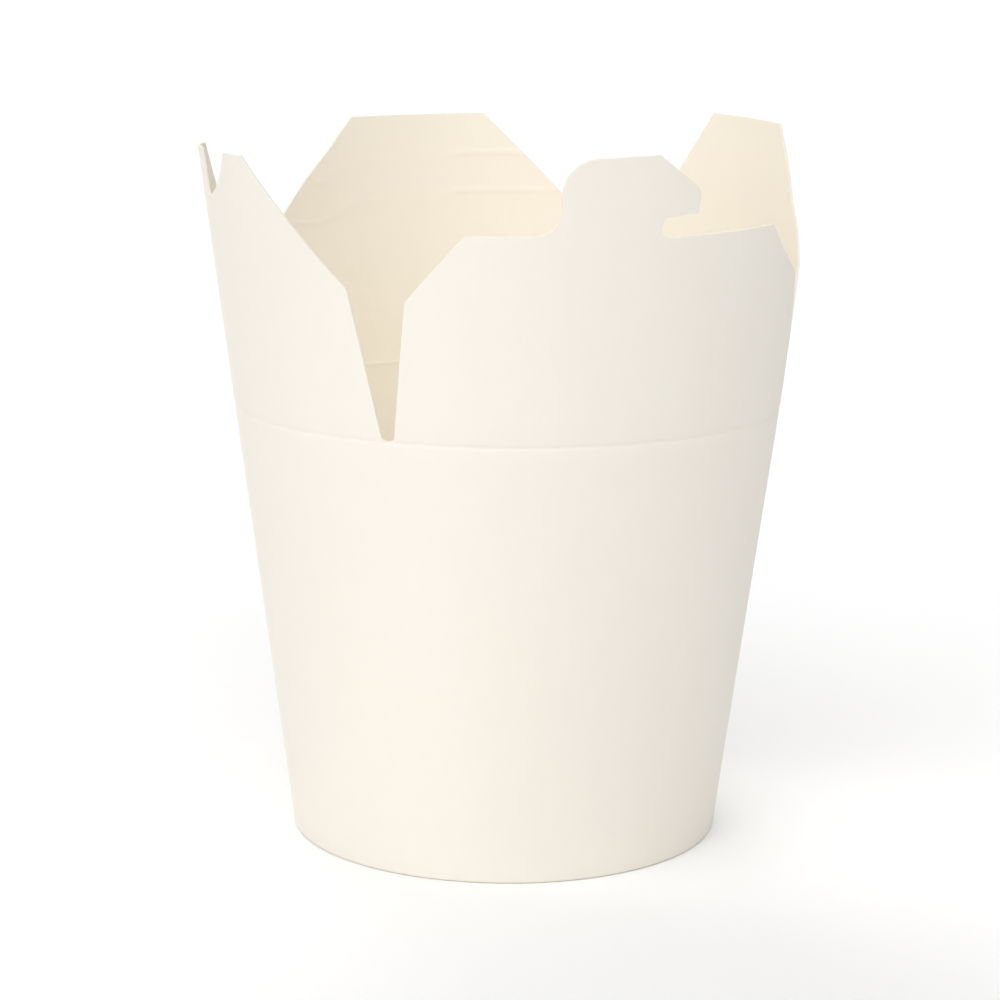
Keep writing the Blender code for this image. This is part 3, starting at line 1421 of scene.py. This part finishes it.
    def build(self) -> bpy.types.Object:
        """Makes the bottom and dresses it.

        Returns:
            The finished piece.
        """
        section = self.section()
        bottom = self.blank(section)
        curve = section.curve("bottom_section")
        self.press_tree(curve).apply(bottom)
        bpy.data.objects.remove(curve, do_unlink=True)
        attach(bottom, "root")
        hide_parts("bottom")
        return bottom


@dataclass(frozen=True)
class SoftLight:
    """A large soft light, far enough away to light the box and the floor evenly.

    Attributes:
        name: name of the light.
        azimuth: where it stands round the box, in degrees.
        elevation: how high it stands, in degrees.
        strength: its strength on a surface that faces it.
        spread: how wide it looks from the box, in degrees.
    """

    name: str
    azimuth: float
    elevation: float
    strength: float
    spread: float = 60.0

    def build(self) -> None:
        """Adds the light."""
        azimuth, elevation = math.radians(self.azimuth), math.radians(self.elevation)
        level = math.cos(elevation)
        place = Vector((math.sin(azimuth) * level, -math.cos(azimuth) * level, math.sin(elevation)))
        lamp = bpy.data.lights.new(self.name, "SUN")
        lamp.energy = self.strength
        lamp.angle = math.radians(self.spread)
        light = add_object(self.name, lamp)
        light.location = place
        light.rotation_mode = "QUATERNION"
        light.rotation_quaternion = (-place).to_track_quat("-Z", "Y")


@dataclass
class Studio:
    """The pale floor, the soft light and the camera.

    Attributes:
        floor_finish: the floor's finish.
        lights: the lamps.
        floor_half: half the floor's width.
        floor_tiles: faces along each side of it.
        eye: where the camera stands.
        forward: where it looks.
        roll: how far it is turned about its own axis, in radians.
        lens: its focal length, in millimetres.
        sensor: width of its sensor, in millimetres.
    """

    floor_finish: FloorFinish
    lights: tuple[SoftLight, ...] = (
        SoftLight("front_low", -22.0, 28.0, 0.77),
        SoftLight("front_high", -22.0, 55.0, 1.29),
        SoftLight("left", -80.0, 28.0, 0.93),
        SoftLight("right", 80.0, 44.0, 0.69),
        SoftLight("back_left", -170.0, 28.0, 1.21),
        SoftLight("back_right", 158.0, 28.0, 1.02),
    )
    floor_half: float = 12.0
    floor_tiles: int = 8
    eye: Triple = (-0.2225, -0.5416, 0.1882)
    forward: Triple = (0.3703, 0.9074, -0.1986)
    roll: float = 0.0083
    lens: float = 101.69
    sensor: float = 36.0

    def floor(self) -> bpy.types.Object:
        """Makes the floor.

        Returns:
            The floor, which isn't part of the box.
        """
        bm = bmesh.new()
        tiles = self.floor_tiles
        bmesh.ops.create_grid(bm, x_segments=tiles, y_segments=tiles, size=self.floor_half)
        floor = mesh_object("floor", bm)
        floor.data.materials.append(self.floor_finish.material())
        return floor

    def room(self) -> None:
        """Adds the white room, which only the camera sees: the soft lights do the lighting."""
        world = bpy.data.worlds.new("studio")
        world.use_nodes = True
        background = world.node_tree.nodes["Background"]
        background.inputs["Color"].default_value = (1.0, 1.0, 1.0, 1.0)
        background.inputs["Strength"].default_value = 1.0
        world.cycles_visibility.diffuse = False
        world.cycles_visibility.glossy = False
        bpy.context.scene.world = world

    def camera(self) -> None:
        """Adds the camera at the photograph's angle."""
        data = bpy.data.cameras.new("camera")
        data.lens = self.lens
        data.sensor_width = self.sensor
        camera = add_object("camera", data)
        ahead = Vector(self.forward).normalized()
        right = ahead.cross(Vector((0, 0, 1))).normalized()
        up = right.cross(ahead)
        c, s = math.cos(self.roll), math.sin(self.roll)
        right, up = c * right + s * up, c * up - s * right
        axes = Matrix((right, up, -ahead)).transposed()
        camera.rotation_mode = "QUATERNION"
        camera.rotation_quaternion = axes.to_quaternion()
        camera.location = self.eye
        bpy.context.scene.camera = camera

    def build(self) -> None:
        """Sets the whole studio up."""
        self.floor()
        self.room()
        for light in self.lights:
            light.build()
        self.camera()
        bpy.context.scene.view_settings.view_transform = "Standard"


def report(piece: bpy.types.Object) -> None:
    """Logs a piece's size and number of triangles.

    Args:
        piece: the finished piece.
    """
    piece.data.calc_loop_triangles()
    size = ", ".join(f"{1000 * side:.1f}" for side in piece.dimensions)
    log.info("%s: %s mm, %d triangles", piece.name, size, len(piece.data.loop_triangles))


def main() -> None:
    """Builds the box and its studio."""
    logging.basicConfig(level=logging.INFO, format="%(message)s")
    cone = Cone()
    outside = BoardFinish(
        "white_board_outside", colour=(0.880, 0.836, 0.757), shade=(0.872, 0.824, 0.745), roughness=0.74
    )
    # The inner face's colour is lighter and warmer than the outer face's: painted light on the inside
    # of the box.
    inside = BoardFinish(
        "white_board_inside",
        colour=(0.965, 0.907, 0.790),
        shade=(0.957, 0.895, 0.776),
        roughness=0.55,
        specular=0.45,
    )
    edge = BoardFinish(
        "board_cut_edge",
        colour=(0.86, 0.82, 0.745),
        shade=(0.83, 0.785, 0.71),
        roughness=0.85,
        tooth=0.00004,
    )
    # The bottom's colour is lighter and warmer than the wall's outer face: painted light inside the
    # box.
    base = BoardFinish(
        "cream_board", colour=(0.92, 0.865, 0.765), shade=(0.90, 0.84, 0.735), roughness=0.60
    )
    for piece in (Wall(cone, outside, inside, edge).build(), Bottom(cone, base, edge).build()):
        report(piece)
    Studio(FloorFinish()).build()


if __name__ == "__main__":
    main()
